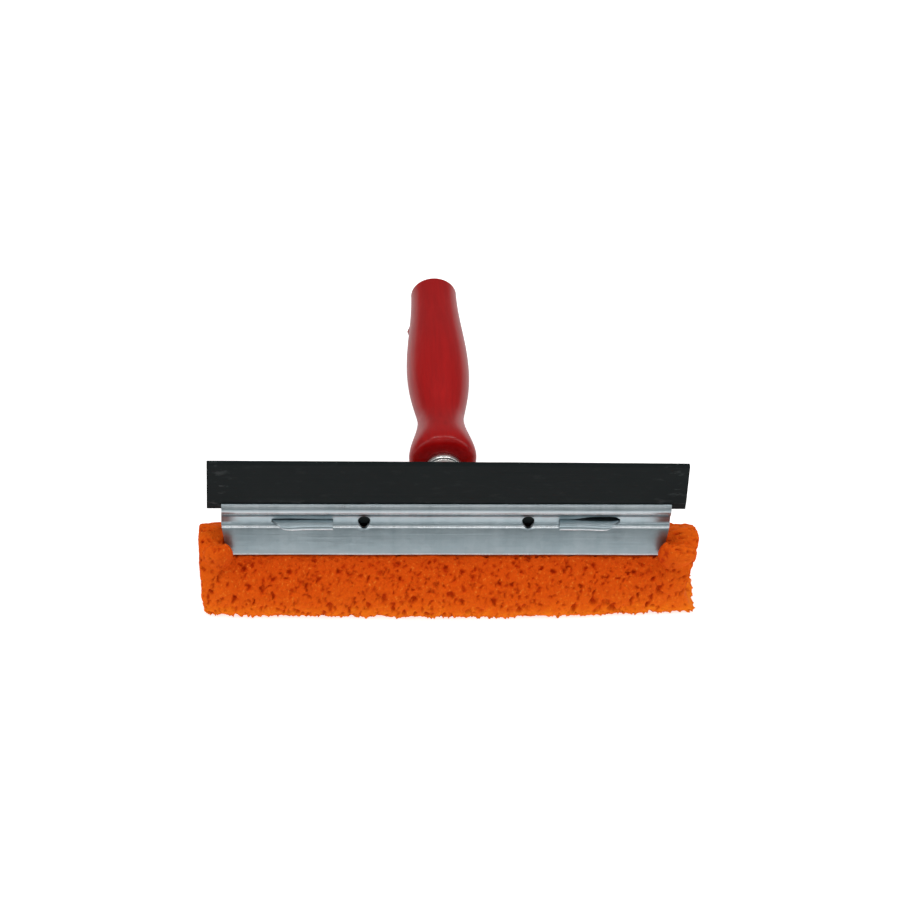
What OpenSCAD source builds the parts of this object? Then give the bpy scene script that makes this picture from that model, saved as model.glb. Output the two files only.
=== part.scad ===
// Window scrubber: a rubber blade and a sponge strip held between two pressed plates,
// on a turned wooden handle. It stands on the sponge, with the blade up and the handle
// pointing back along +Y. The origin is the middle of the sponge's wiping face.

/* [Blade] */
// Length of the rubber blade
blade_len = 200; // [120:1:400]
// Height of the wiping edge above the sponge's wiping face
blade_top = 73.5; // [68:0.5:90]
// Thickness of the blade just above the lips
blade_root_t = 3.4; // [2.8:0.1:5]
// Thickness of the blade at its wiping edge
blade_edge_t = 2.2; // [1:0.1:2.8]
// Thickness of the web that passes between the lips
web_t = 2.4; // [1.6:0.1:2.7]
// Radius of the bulb that the lips hold
bulb_r = 2.2; // [1.6:0.1:3]
// Height of the bulb's centre
bulb_z = 48; // [47.5:0.1:50]
// Thickness of the tail below the bulb, which the plates clamp between their flats
tail_t = 0.8; // [0.5:0.05:1.2]
// How far the tail stops above the foot of the flats
tail_short = 0.6; // [0:0.1:2]

/* [Plates] */
// Length of each plate along its lip
plate_len = 188; // [154:1:390]
// How much each end of a plate slants in by its foot
plate_slant = 2.5; // [0:0.1:6]
// Thickness of the galvanised sheet
sheet_t = 0.9; // [0.6:0.05:1.2]
// How far the lip's top edge rises above the bulb's centre
lip_h = 3.4; // [3:0.1:6]
// How far that flat begins below the bulb's centre
seam_drop = 4; // [3.6:0.1:4.4]
// Height of the flat where the plates clamp the blade's tail
seam_h = 5.6; // [5.4:0.1:6.4]
// How far the jaw steps out below the flat
ledge = 1.8; // [1:0.1:3]
// How far the jaw's foot stands out from the middle plane
jaw_out = 6.6; // [5:0.1:9]
// Height of the jaw, from the flat down to the jaw's foot
jaw_h = 11.2; // [8.4:0.1:14]
// Height of the fold inside the jaw's foot
hem_h = 1.9; // [1.2:0.1:3]
// Distance between the two holes
hole_span = 68.8; // [40:0.1:90]
// Radius of each hole
hole_r = 2.6; // [1:0.1:2.7]

/* [Sponge] */
// Length of the sponge strip
sponge_len = 207; // [170:1:400]
// Half of the sponge's depth at its widest
sponge_half = 17.4; // [12:0.1:24]
// How much narrower each side of the wiping face is
foot_round = 1.4; // [0.5:0.1:4]
// How much fuller each side is at the middle of the strip
sponge_swell = 2.6; // [0:0.1:4]
// How far below the blade's bulb the free ends stop
end_drop = 6.6; // [1.8:0.1:9]
// Half of the free ends' depth at the top
end_half = 8.5; // [5:0.1:12]

/* [Yoke] */
// Thickness of the yoke and its tongues
yoke_t = 1.2; // [0.8:0.1:1.4]
// How far the yoke's middle plane lies below the flat's top, as the handle's axis does
yoke_drop = 2.6; // [1.2:0.1:3]
// Width of each tongue
tongue_w = 25.4; // [14:0.1:26]
// Distance between the middles of the tongues
tongue_span = 120.4; // [118:0.1:126]
// How far down the curled tongues reach
tongue_drop = 2.3; // [1.8:0.1:3]
// How far the middle of a tongue's sheet reaches out from the flat
tongue_out = 2.6; // [2:0.1:4]
// Rounding of each tongue's outer corner
tongue_round = 1.8; // [1:0.1:2.4]
// Depth of the yoke's cross bar
bar_depth = 6.5; // [4:0.1:9]
// How far the cross bar reaches past the tongues
bar_past = 2.5; // [1:0.1:6]
// Width of the tang
tang_w = 9.5; // [6:0.1:10]
// Length of the tang from the ferrule's nose
tang_len = 47; // [20:1:90]

/* [Handle] */
// Where the wood's shoulder begins, behind the middle plane
handle_start = 32.2; // [26:0.1:40]
// Length of the handle from shoulder to end
handle_len = 111.6; // [100:0.1:200]
// Distance from the shoulder to the collar's widest ring
collar_at = 3.8; // [3:0.1:12]
// Distance from the shoulder to the neck
neck_at = 28.3; // [20:0.1:44]
// Distance from the shoulder to the belly
belly_at = 59.1; // [50:0.1:84]
// Radius where the wood meets the ferrule
shoulder_r = 8.4; // [8.1:0.1:10]
// Radius of the collar
collar_r = 14.6; // [11:0.1:18]
// Radius of the neck
neck_r = 9.9; // [8:0.1:12]
// Radius of the belly
belly_r = 13.6; // [10:0.1:18]
// Radius of the free end
end_r = 10.1; // [6:0.1:14]
// Rounding of the free end's edge
end_round = 1.2; // [0.3:0.1:3]

/* [Ferrule] */
// Length of the ferrule's nose ahead of its band
nose_len = 9; // [5:0.1:12]
// Length of the ferrule's band
band_len = 3.3; // [2:0.1:5]
// Radius of the band
band_r = 8; // [7.4:0.05:8.1]
// Radius of the wooden spigot inside
spigot_r = 6.2; // [5.6:0.05:6.4]
// Wall of the ferrule
ferrule_wall = 0.7; // [0.4:0.05:0.9]
// Radius of the pin through ferrule, wood and tang
pin_r = 1.2; // [0.8:0.05:1.6]
// How far the pin stands out at each end
pin_proud = 0.35; // [0.1:0.05:0.8]

/* [Clearances] */
// Gap between metal pieces that lie on each other
metal_gap = 0.05; // [0.02:0.01:0.1]
// Gap round the tongues in their slots and the tang in the wood
slot_gap = 0.15; // [0.05:0.05:0.3]
// Gap round the pin and the spigot
pin_gap = 0.05; // [0.02:0.01:0.1]
// Gap between the rubber and the lips
rubber_gap = 0.2; // [0.1:0.05:0.4]
// Gap between the sponge and the metal
sponge_gap = 0.3; // [0.2:0.05:0.5]

/* [Hidden] */
$fn = 64;
margin = 1;

lip_top = bulb_z + lip_h;
seam_top = bulb_z - seam_drop;
seam_foot = seam_top - seam_h;
jaw_foot = seam_foot - jaw_h;
yoke_z = seam_top - yoke_drop;
end_top = bulb_z - bulb_r - end_drop;
seam_y = tail_t / 2 + metal_gap + sheet_t / 2;
seam_face = tail_t / 2 + metal_gap + sheet_t;
lip_y = web_t / 2 + rubber_gap + sheet_t / 2;
bulge_r = bulb_r + rubber_gap + sheet_t / 2;
ledge_y = seam_y + ledge;
ledge_z = seam_foot - 1.4;
hem_r = sheet_t / 2 + metal_gap;
jaw_dir = unit([ledge_y - jaw_out, jaw_foot - ledge_z]);
jaw_side = [jaw_dir.y, -jaw_dir.x];
hem_centre = [-jaw_out, jaw_foot] - jaw_side * hem_r;

ferrule_back = handle_start - metal_gap;
band_start = ferrule_back - band_len;
ferrule_front = band_start - nose_len;
bore_r = spigot_r + pin_gap;
nose_r = bore_r + ferrule_wall;
edge_round = ferrule_wall / 2;
pin_y = ferrule_front + ferrule_wall + nose_len / 2;
spigot_start = ferrule_front + ferrule_wall + metal_gap;
bar_front = seam_face + metal_gap;
bar_half = (tongue_span + tongue_w) / 2 + bar_past;
tang_end = ferrule_front + tang_len;
handle_end = handle_start + handle_len;

function ease(t) = (1 - cos(180 * t)) / 2;
function mix(a, b, t) = a + (b - a) * t;
function unit(v) = v / norm(v);
function turned(v) = [-v.y, v.x];
function reversed(list) = [for (i = [len(list) - 1:-1:0]) list[i]];

// Points beside a bent strip's middle line, each on the mitre of its two stretches
function side(path, away) = [
    for (i = [0:len(path) - 1])
        let (a = unit(path[max(i, 1)] - path[max(i, 1) - 1]),
             b = unit(path[min(i + 1, len(path) - 1)] - path[min(i, len(path) - 2)]),
             n = unit(turned(a) + turned(b)))
            path[i] + n * away / (n * turned(a))
];

module strip(path, thickness) {
    polygon(concat(side(path, thickness / 2), reversed(side(path, -thickness / 2))));
}

// A section drawn in Y and Z, pulled along X and centred on the middle
module along_x(length) {
    translate([-length / 2, 0, 0])
        rotate([90, 0, 90])
            linear_extrude(height = length) children();
}

// A profile drawn as radius and distance, turned about the handle's axis
module turned_on_axis() {
    translate([0, 0, yoke_z])
        rotate([-90, 0, 0])
            rotate_extrude() children();
}

// The front plate's middle line: lip, bulge round the bulb, seam flat, ledge, jaw, hem
plate_path = concat(
    [[-lip_y, lip_top]],
    [for (i = [0:8])
        let (a = mix(180 - acos(lip_y / bulge_r), 218, i / 8))
            [bulge_r * cos(a), bulb_z + bulge_r * sin(a)]],
    [[-seam_y - 0.2, seam_top + 0.4], [-seam_y, seam_top]],
    [[-seam_y, seam_foot], [-seam_y - 0.4, seam_foot - 0.6]],
    [[-ledge_y + 0.3, ledge_z + 0.5], [-ledge_y, ledge_z]],
    [for (a = [0:30:180]) hem_centre + hem_r * (jaw_dir * sin(a) + jaw_side * cos(a))],
    [hem_centre - jaw_side * hem_r - jaw_dir * hem_h]
);

// The plate's outline seen from the front, with its ends slanting in to the foot
module plate_outline() {
    top = lip_top + margin;
    foot = jaw_foot - 2 * margin;
    polygon([[-plate_len / 2, top], [plate_len / 2, top],
             [plate_len / 2, seam_foot], [plate_len / 2 - plate_slant, foot],
             [plate_slant - plate_len / 2, foot], [-plate_len / 2, seam_foot]]);
}

module plate() {
    difference() {
        intersection() {
            along_x(plate_len + 2 * margin) strip(plate_path, sheet_t);
            translate([0, margin, 0])
                rotate([90, 0, 0])
                    linear_extrude(height = 2 * jaw_out + 2 * margin) plate_outline();
        }
        for (end = [-1, 1]) {
            translate([end * hole_span / 2, 0, (seam_top + seam_foot) / 2])
                rotate([90, 0, 0])
                    cylinder(h = 4 * seam_face, r = hole_r, center = true);
            translate([end * tongue_span / 2, 0, yoke_z])
                cube([tongue_w + 2 * slot_gap, 4 * seam_face, yoke_t + 2 * slot_gap],
                     center = true);
        }
    }
}

module front_plate() {
    color("lightsteelblue") plate();
}

module back_plate() {
    color("lightsteelblue") mirror([0, 1, 0]) plate();
}

module rubber_blade() {
    tail_foot = seam_foot + tail_short;
    color("darkslategray") difference() {
        union() {
            along_x(blade_len) union() {
                polygon([[-blade_root_t / 2, lip_top + rubber_gap],
                         [blade_root_t / 2, lip_top + rubber_gap],
                         [blade_edge_t / 2, blade_top], [-blade_edge_t / 2, blade_top]]);
                translate([-web_t / 2, bulb_z])
                    square([web_t, lip_top - bulb_z + 2 * rubber_gap]);
            }
            along_x(plate_len - 2 * plate_slant) union() {
                translate([0, bulb_z]) circle(r = bulb_r);
                translate([-tail_t / 2, tail_foot])
                    square([tail_t, bulb_z - tail_foot]);
            }
        }
        for (end = [-1, 1])
            translate([end * tongue_span / 2, 0, yoke_z])
                cube([tongue_w + 2 * rubber_gap, 4 * sheet_t, yoke_t + 2 * rubber_gap],
                     center = true);
    }
}

// Half depth of the space between the jaws' folds at a height, less the sponge's gap
function jaw_room(z) =
    ledge_y + (ledge_z - z) * jaw_dir.x / jaw_dir.y
        + (sheet_t / 2 + 2 * hem_r) / jaw_dir.y - sponge_gap;

shoulder_z = jaw_foot - hem_r - sheet_t / 2 - sponge_gap;
neck_top = ledge_z - 1.2;

// Height and half depth, from the wiping face to the top, where the jaws hold the sponge
function held(swell) = [
    [0, sponge_half - foot_round + swell], [1.2, sponge_half - foot_round / 3 + swell],
    [4, sponge_half + swell], [0.34 * shoulder_z, sponge_half + swell],
    [0.53 * shoulder_z, sponge_half - 0.5 + 0.8 * swell],
    [0.7 * shoulder_z, sponge_half - 1.7 + 0.5 * swell],
    [0.835 * shoulder_z, sponge_half - 3.6 + 0.2 * swell],
    [shoulder_z - 1.4, sponge_half - 6],
    [shoulder_z, jaw_out + 2.2], [shoulder_z + 0.1, jaw_room(shoulder_z) - 0.1],
    [mix(jaw_foot, neck_top, 0.3), jaw_room(mix(jaw_foot, neck_top, 0.3))],
    [mix(jaw_foot, neck_top, 0.7), jaw_room(mix(jaw_foot, neck_top, 0.7))],
    [neck_top, jaw_room(neck_top)]
];

// The same levels on the free ends, which nothing squeezes
free_end = [
    [0, sponge_half - foot_round], [1.2, sponge_half - foot_round / 3],
    [4, sponge_half], [0.34 * shoulder_z, sponge_half],
    [0.53 * shoulder_z, sponge_half - 0.5], [0.7 * shoulder_z, sponge_half - 1.2],
    [0.835 * shoulder_z, sponge_half - 2], [shoulder_z, sponge_half - 3.2],
    [mix(shoulder_z, end_top, 0.4), mix(sponge_half - 3.2, end_half, 0.45)],
    [mix(shoulder_z, end_top, 0.7), mix(sponge_half - 3.2, end_half, 0.8)],
    [end_top - 2.2, end_half - 0.6], [end_top - 0.7, end_half - 2.6],
    [end_top, end_half - 5]
];

// One closed ring at a place along the strip: up the front face and down the back
function ring(x, levels, shrink) = concat(
    [for (p = levels) [x, -p.y * shrink, mix(end_top / 2, p.x, shrink)]],
    [for (p = reversed(levels)) [x, p.y * shrink, mix(end_top / 2, p.x, shrink)]]
);

module sponge() {
    half = sponge_len / 2;
    free_from = plate_len / 2 + sponge_gap;
    held_to = plate_len / 2 - 0.2;
    bays = 14;
    ends = [[half, 0.84], [half - 0.7, 0.93], [half - 2.4, 0.985], [half - 4.5, 1],
            [free_from + 0.4, 1]];
    rings = concat(
        [for (e = ends) ring(-e.x, free_end, e.y)],
        [for (i = [0:bays])
            let (x = mix(-held_to, held_to, i / bays))
                ring(x, held(sponge_swell * cos(90 * x / half)), 1)],
        [for (e = reversed(ends)) ring(e.x, free_end, e.y)]
    );
    n = len(rings[0]);
    last = (len(rings) - 1) * n;
    walls = [for (r = [0:len(rings) - 2], i = [0:n - 1])
        let (a = r * n + i, b = r * n + (i + 1) % n) each [[a, b, b + n], [a, b + n, a + n]]];
    caps = [for (i = [0:n / 2 - 2])
        let (a = i, b = i + 1, c = n - 2 - i, d = n - 1 - i)
            each [[a, d, b], [b, d, c], [last + a, last + b, last + d],
                  [last + b, last + c, last + d]]];
    color("darkorange")
        polyhedron([for (r = rings) each r], concat(walls, caps), convexity = 6);
}

// The tongue's middle line: straight through the slot, then curled down in a quarter ellipse
tongue_path = concat(
    [[bar_front + margin, yoke_z]],
    [for (a = [0:15:90])
        [-seam_face - tongue_out * sin(a), yoke_z - tongue_drop * (1 - cos(a))]]
);

// A tongue seen from the front, with its outer corner rounded
module tongue_outline() {
    foot = yoke_z - tongue_drop - margin;
    top = yoke_z + margin;
    difference() {
        translate([-tongue_w / 2, foot]) square([tongue_w, top - foot]);
        translate([tongue_w / 2 - tongue_round, yoke_z - tongue_drop])
            difference() {
                translate([0, -2 * margin])
                    square([tongue_round + margin, tongue_round + 2 * margin]);
                translate([0, tongue_round]) circle(r = tongue_round);
            }
    }
}

module tongue() {
    intersection() {
        along_x(tongue_w) strip(tongue_path, yoke_t);
        translate([0, 2 * margin + bar_front, 0])
            rotate([90, 0, 0])
                linear_extrude(height = 2 * jaw_out) tongue_outline();
    }
}

// Half of the yoke's outline: cross bar, gusset that narrows in a curve, then the tang
yoke_edge = concat(
    [[bar_half, bar_front], [bar_half, bar_front + bar_depth]],
    [for (t = [0.1:0.1:1])
        [mix(bar_half, tang_w / 2, t),
         mix(bar_front + bar_depth, ferrule_front - margin, t ^ 4)]],
    [[tang_w / 2, tang_end - margin], [tang_w / 2 - margin, tang_end]]
);

module yoke() {
    color("silver") difference() {
        union() {
            translate([0, 0, yoke_z - yoke_t / 2])
                linear_extrude(height = yoke_t)
                    polygon(concat(yoke_edge, [for (p = reversed(yoke_edge)) [-p.x, p.y]]));
            for (end = [0, 1])
                mirror([end, 0, 0]) translate([tongue_span / 2, 0, 0]) tongue();
        }
        pin_hole();
    }
}

module pin_hole() {
    translate([0, pin_y, yoke_z])
        cylinder(h = 4 * nose_r, r = pin_r + pin_gap, center = true);
}

module tang_slot() {
    translate([0, (tang_end + ferrule_front) / 2, yoke_z])
        cube([tang_w + 2 * slot_gap, tang_len + 2 * slot_gap + margin,
              yoke_t + 2 * slot_gap], center = true);
}

module ferrule() {
    color("gainsboro") difference() {
        turned_on_axis() polygon([
            [0, ferrule_front], [nose_r - edge_round, ferrule_front],
            [nose_r, ferrule_front + edge_round], [nose_r, band_start],
            [band_r - edge_round, band_start], [band_r, band_start + edge_round],
            [band_r, ferrule_back - edge_round], [band_r - edge_round, ferrule_back],
            [bore_r, ferrule_back], [bore_r, ferrule_front + ferrule_wall],
            [0, ferrule_front + ferrule_wall]]);
        tang_slot();
        pin_hole();
    }
}

module tang_pin() {
    color("dimgray") translate([0, pin_y, yoke_z])
        cylinder(h = 2 * (nose_r + pin_proud), r = pin_r, center = true);
}

// The wood's radius at a distance behind its shoulder: it eases from ring to ring
function wood_r(at) =
    at < neck_at
        ? mix(collar_r, neck_r, ease(((at - collar_at) / (neck_at - collar_at)) ^ 0.88))
        : at < belly_at
            ? mix(neck_r, belly_r, ease(((at - neck_at) / (belly_at - neck_at)) ^ 0.66))
            : mix(belly_r, end_r, ease((at - belly_at) / (handle_len - belly_at)));

module handle() {
    shoulder = [for (a = [0:10:80])
        [mix(shoulder_r, collar_r, sin(a)), handle_start + collar_at * (1 - cos(a))]];
    body_steps = 44;
    body_end = handle_len - end_round;
    body = [for (i = [0:body_steps])
        let (at = mix(collar_at, body_end, i / body_steps)) [wood_r(at), handle_start + at]];
    rim = [for (a = [20:20:80])
        [end_r - end_round * (1 - cos(a)), handle_start + body_end + end_round * sin(a)]];
    color("firebrick") difference() {
        turned_on_axis() polygon(concat(
            [[0, spigot_start], [spigot_r, spigot_start], [spigot_r, handle_start]],
            shoulder, body, rim, [[end_r - end_round, handle_end], [0, handle_end]]));
        tang_slot();
        pin_hole();
    }
}

front_plate();
back_plate();
rubber_blade();
sponge();
yoke();
ferrule();
tang_pin();
handle();
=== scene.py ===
"""The looks of a window scrubber: galvanised plates, black rubber, orange sponge, red lacquered wood.

Every length is in metres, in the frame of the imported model: +X along the blade, +Y back along
the handle and +Z up. The tool stands on its sponge at z = 0.
"""

import math

import bpy
import numpy as np
from mathutils import Matrix, Vector


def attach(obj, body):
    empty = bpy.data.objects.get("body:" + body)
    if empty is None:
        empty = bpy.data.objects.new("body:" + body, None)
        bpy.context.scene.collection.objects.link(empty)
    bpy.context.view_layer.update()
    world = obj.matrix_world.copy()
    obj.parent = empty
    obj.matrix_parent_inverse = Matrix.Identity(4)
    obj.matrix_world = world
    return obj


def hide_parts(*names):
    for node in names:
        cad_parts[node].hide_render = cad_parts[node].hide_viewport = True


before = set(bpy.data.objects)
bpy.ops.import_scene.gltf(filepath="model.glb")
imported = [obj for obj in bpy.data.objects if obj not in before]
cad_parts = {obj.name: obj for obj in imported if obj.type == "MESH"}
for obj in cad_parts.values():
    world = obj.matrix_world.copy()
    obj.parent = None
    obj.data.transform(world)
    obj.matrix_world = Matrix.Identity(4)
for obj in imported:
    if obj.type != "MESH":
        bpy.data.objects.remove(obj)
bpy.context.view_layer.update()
MM = 0.001

# The photograph's view of the head, found from the edges of the blade, plates and handle
PHOTO_WIDTH = 900
PIXELS_PER_MM = 2.431
CAMERA_DISTANCE = 1.5
CAMERA_AIM = Vector((0.0, 0.0, 0.0806))
CAMERA_AZIMUTH = math.radians(4.5)
CAMERA_ELEVATION = math.radians(43.0)
CAMERA_ROLL = math.radians(3.2)
SENSOR_WIDTH = 36.0


def make_camera():
    """A long lens at the photograph's angle, rolled a little clockwise as the photograph is."""
    a, e, roll = CAMERA_AZIMUTH, CAMERA_ELEVATION, CAMERA_ROLL
    back = Vector((-math.sin(a) * math.cos(e), -math.cos(a) * math.cos(e), math.sin(e)))
    level = Vector((math.cos(a), -math.sin(a), 0.0))
    upright = back.cross(level)
    right = level * math.cos(roll) + upright * math.sin(roll)
    up = upright * math.cos(roll) - level * math.sin(roll)
    data = bpy.data.cameras.new("photo_camera")
    data.sensor_width = SENSOR_WIDTH
    focal_pixels = PIXELS_PER_MM / MM * CAMERA_DISTANCE
    data.lens = SENSOR_WIDTH * focal_pixels / PHOTO_WIDTH
    data.clip_start, data.clip_end = 0.05, 20.0
    camera = bpy.data.objects.new("photo_camera", data)
    place = CAMERA_AIM + back * CAMERA_DISTANCE
    turn = Matrix((right, up, back)).transposed().to_4x4()
    camera.matrix_world = Matrix.Translation(place) @ turn
    bpy.context.scene.collection.objects.link(camera)
    bpy.context.scene.camera = camera


make_camera()


# Node helpers


def new_material(name):
    """A node material that has no nodes yet, and its tree."""
    material = bpy.data.materials.new(name)
    material.use_nodes = True
    tree = material.node_tree
    tree.nodes.clear()
    return material, tree


def feed(tree, socket, value):
    """Links another node's socket to an input, or sets the input to a plain value."""
    if isinstance(value, bpy.types.NodeSocket):
        tree.links.new(value, socket)
    else:
        socket.default_value = value


def add(tree, kind, settings=None, **inputs):
    """Adds a node of a kind, sets its properties and feeds its named inputs; _ stands for a space."""
    node = tree.nodes.new(kind)
    for key, value in (settings or {}).items():
        setattr(node, key, value)
    for key, value in inputs.items():
        feed(tree, node.inputs[key.replace("_", " ")], value)
    return node


def math_node(tree, operation, a, b=None, clamp=False):
    """A Math node whose inputs are sockets or numbers; returns its output."""
    node = add(tree, "ShaderNodeMath", {"operation": operation, "use_clamp": clamp})
    feed(tree, node.inputs[0], a)
    if b is not None:
        feed(tree, node.inputs[1], b)
    return node.outputs[0]


def product(tree, a, b):
    """Two values multiplied."""
    return math_node(tree, "MULTIPLY", a, b)


def blend(tree, *parts):
    """Several values added up, each times its share."""
    whole = 0.0
    for value, share in parts:
        whole = math_node(tree, "ADD", whole, product(tree, value, share))
    return whole


def mix_colour(tree, factor, first, second):
    """A colour mix; each argument is a socket or a value."""
    node = add(tree, "ShaderNodeMix", {"data_type": "RGBA"})
    feed(tree, node.inputs[0], factor)
    for index, value in ((6, first), (7, second)):
        plain = not isinstance(value, bpy.types.NodeSocket)
        feed(tree, node.inputs[index], (*value, 1.0) if plain else value)
    return node.outputs[2]


def tinted(tree, colour, *layers):
    """A colour with others laid over it in turn, each by its own share."""
    for share, tint in layers:
        colour = mix_colour(tree, share, colour, tint)
    return colour


def ramp(tree, value, low, high, start=0.0, end=1.0):
    """Maps a value from one range to another, held at both ends."""
    node = add(tree, "ShaderNodeMapRange", {"clamp": True})
    for index, number in enumerate((value, low, high, start, end)):
        feed(tree, node.inputs[index], number)
    return node.outputs[0]


def object_point(tree, scale=(1.0, 1.0, 1.0)):
    """The point on the object, stretched by a scale along each axis."""
    place = add(tree, "ShaderNodeTexCoord").outputs["Object"]
    return add(tree, "ShaderNodeMapping", Vector=place, Scale=scale).outputs["Vector"]


def coordinate(tree, axis, kind="Object"):
    """The point's X, Y or Z; the world takes that of its Generated direction."""
    place = add(tree, "ShaderNodeTexCoord").outputs[kind]
    return add(tree, "ShaderNodeSeparateXYZ", Vector=place).outputs[axis]


def bump(tree, height, distance, strength=1.0):
    """The normal of a relief: its height goes from 0 to 1 over a distance in metres."""
    return add(tree, "ShaderNodeBump", Height=height, Distance=distance,
               Strength=strength).outputs["Normal"]


def surface(tree, settings, **patterns):
    """A Principled shader: settings are plain numbers, patterns are sockets that vary."""
    shader = add(tree, "ShaderNodeBsdfPrincipled", **patterns)
    for name, value in settings.items():
        shader.inputs[name].default_value = value
    add(tree, "ShaderNodeOutputMaterial", Surface=shader.outputs[0])


def grain_group():
    """The grain that every finish uses: smooth noise between 0 and 1 at the stretched point."""
    group = bpy.data.node_groups.new("grain", "ShaderNodeTree")
    for name, kind in (("Point", "NodeSocketVector"), ("Stretch", "NodeSocketVector"),
                       ("Scale", "NodeSocketFloat"), ("Detail", "NodeSocketFloat"),
                       ("Roughness", "NodeSocketFloat")):
        group.interface.new_socket(name, in_out="INPUT", socket_type=kind)
    group.interface.new_socket("Grain", in_out="OUTPUT", socket_type="NodeSocketFloat")
    given = group.nodes.new("NodeGroupInput").outputs
    place = add(group, "ShaderNodeMapping", Vector=given["Point"], Scale=given["Stretch"])
    field = add(group, "ShaderNodeTexNoise", Vector=place.outputs["Vector"], Scale=given["Scale"],
                Detail=given["Detail"], Roughness=given["Roughness"])
    add(group, "NodeGroupOutput", Grain=field.outputs["Fac"])
    return group


GRAIN = grain_group()


def grain(tree, scale, detail, roughness=0.5, stretch=(1.0, 1.0, 1.0)):
    """The grain group in a material, with that finish's own values."""
    place = add(tree, "ShaderNodeTexCoord").outputs["Object"]
    return add(tree, "ShaderNodeGroup", {"node_tree": GRAIN}, Point=place, Stretch=stretch, Scale=scale,
               Detail=detail, Roughness=roughness).outputs["Grain"]


# Finishes

ZINC_DARK, ZINC_PALE = (0.275, 0.345, 0.375), (0.375, 0.445, 0.475)
# A real stain colour, then the pale colour of the painted highlight lines on the bends
ZINC_STAIN, ZINC_PAINTED_HIGHLIGHT = (0.18, 0.20, 0.20), (0.86, 0.88, 0.89)
# Height and half width in mm, and share, of each line of painted highlight along the sheet's bends
PAINTED_HIGHLIGHT_LINES = ((50.4, 1.3, 0.40), (48.0, 1.3, 0.30), (46.4, 0.50, 1.0), (39.2, 0.55, 0.8),
                (27.2, 0.55, 0.7))


def painted_highlight_lines(tree):
    """How much painted highlight the zinc gets, in broken lines along the lip, the bulge, the bends and
    the hem.
    """
    level = coordinate(tree, "Z")
    highlight_share = 0.0
    for height_mm, half_mm, share in PAINTED_HIGHLIGHT_LINES:
        away = math_node(tree, "ABSOLUTE", math_node(tree, "SUBTRACT", level, height_mm * MM))
        line = ramp(tree, away, half_mm * MM, 0.1 * MM, 0.0, share)
        highlight_share = math_node(tree, "MAXIMUM", highlight_share, line)
    along = grain(tree, 110.0, 5.0, 0.7, (1.0, 0.0, 0.0))
    return product(tree, highlight_share, ramp(tree, along, 0.35, 0.55, 0.25, 0.85))


def galvanised_sheet():
    """Zinc-coated steel: soft mottling, faint crystals, rolling lines and stains.

    The painted highlight lines are pale and only a little metallic, so that they are bright whatever
    they face.
    """
    material, tree = new_material("galvanised_sheet")
    crystals = add(tree, "ShaderNodeTexVoronoi", Vector=object_point(tree), Scale=340.0)
    crystal = add(tree, "ShaderNodeSeparateColor", Color=crystals.outputs["Color"]).outputs[0]
    cloud = grain(tree, 60.0, 4.0)
    streak = grain(tree, 1.0, 4.0, 0.6, (150.0, 14.0, 14.0))
    lines = grain(tree, 9.0, 3.0, stretch=(3.0, 160.0, 160.0))
    stain = grain(tree, 60.0, 5.0, stretch=(0.5, 2.0, 2.0))
    # share of painted highlight, in broken lines along the bends
    highlight_share = painted_highlight_lines(tree)
    tone = blend(tree, (crystal, 0.10), (cloud, 0.40), (streak, 0.50))
    colour = tinted(tree, ZINC_DARK, (ramp(tree, tone, 0.32, 0.68), ZINC_PALE),
                    (ramp(tree, stain, 0.60, 0.78, 0.0, 0.22), ZINC_STAIN), (highlight_share, ZINC_PAINTED_HIGHLIGHT))
    rough = ramp(tree, blend(tree, (lines, 0.5), (streak, 0.5)), 0.3, 0.7, 0.27, 0.40)
    height = blend(tree, (lines, 0.4), (grain(tree, 300.0, 2.0), 0.6))
    surface(tree, {"Specular IOR Level": 0.5}, Base_Color=colour,
            Roughness=math_node(tree, "SUBTRACT", rough, product(tree, highlight_share, 0.10)),
            Metallic=math_node(tree, "SUBTRACT", 1.0, product(tree, highlight_share, 0.8)),
            Normal=bump(tree, height, 0.00010))
    return material


STEEL_DULL, STEEL_BRIGHT = (0.52, 0.50, 0.48), (0.72, 0.70, 0.68)


def drawn_steel():
    """Bright drawn steel with fine rings left by the press."""
    material, tree = new_material("drawn_steel")
    rings = grain(tree, 30.0, 3.0, stretch=(1.0, 60.0, 1.0))
    cloud = grain(tree, 120.0, 3.0)
    surface(tree, {"Metallic": 1.0},
            Base_Color=tinted(tree, STEEL_DULL, (ramp(tree, cloud, 0.3, 0.7), STEEL_BRIGHT)),
            Roughness=ramp(tree, rings, 0.3, 0.7, 0.16, 0.34), Normal=bump(tree, rings, 0.00008))
    return material


RUBBER_BLACK, RUBBER_GREY = (0.0038, 0.0068, 0.0073), (0.0065, 0.0103, 0.0108)
RUBBER_SCUFF = (0.16, 0.17, 0.17)


def black_rubber():
    """Moulded rubber: a matt skin with faint lengthwise lines, scuffed pale by its ends and foot."""
    material, tree = new_material("black_rubber")
    lines = grain(tree, 40.0, 3.0, stretch=(0.6, 30.0, 30.0))
    cloud = grain(tree, 30.0, 4.0)
    spots = grain(tree, 120.0, 6.0, 0.65, (1.0, 1.0, 3.2))
    ends = ramp(tree, math_node(tree, "ABSOLUTE", coordinate(tree, "X")), 0.086, 0.097)
    foot = ramp(tree, coordinate(tree, "Z"), 0.0535, 0.0518, 0.0, 0.7)
    worn = ramp(tree, math_node(tree, "MAXIMUM", ends, foot), 0.0, 1.0, 0.12, 1.0)
    scuff = product(tree, ramp(tree, spots, 0.56, 0.72, 0.0, 0.30), worn)
    surface(tree, {"Specular IOR Level": 0.11},
            Base_Color=tinted(tree, RUBBER_BLACK, (cloud, RUBBER_GREY), (scuff, RUBBER_SCUFF)),
            Roughness=ramp(tree, cloud, 0.3, 0.7, 0.50, 0.62), Normal=bump(tree, lines, 0.00006))
    return material


LACQUER_RED, LACQUER_BRIGHT = (0.335, 0.0015, 0.002), (0.42, 0.003, 0.003)
LACQUER_DEEP = (0.30, 0.001, 0.0015)


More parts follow.
